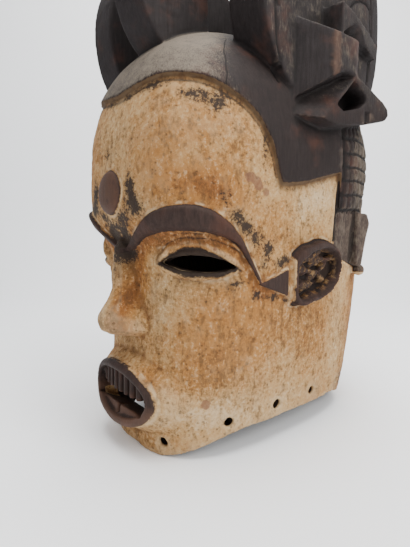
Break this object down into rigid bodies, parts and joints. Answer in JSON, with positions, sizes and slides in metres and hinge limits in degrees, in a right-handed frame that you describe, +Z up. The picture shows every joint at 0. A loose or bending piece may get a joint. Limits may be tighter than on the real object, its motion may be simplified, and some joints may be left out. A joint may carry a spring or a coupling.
{
  "type": "janus helmet mask",
  "caption": "Carved wooden helmet mask worn over the head, with a face on each side under a lobed crest and a pale clay skin on the faces.",
  "frame": {"origin": "centre of the bounding box, at the level of the two chins that the mask stands on", "axes": "+Z up through the crest, the first face looks along -Y, the second face along +Y, and the first face's left ear is on +X"},
  "size_m": [0.264, 0.3696, 0.546],
  "materials": {
    "carved_wood": "dark oiled wood with a worn pale clay coat on the faces"
  },
  "bodies": {
    "root": {"janus_helmet_mask": "carved_wood"}
  },
  "joints": []
}
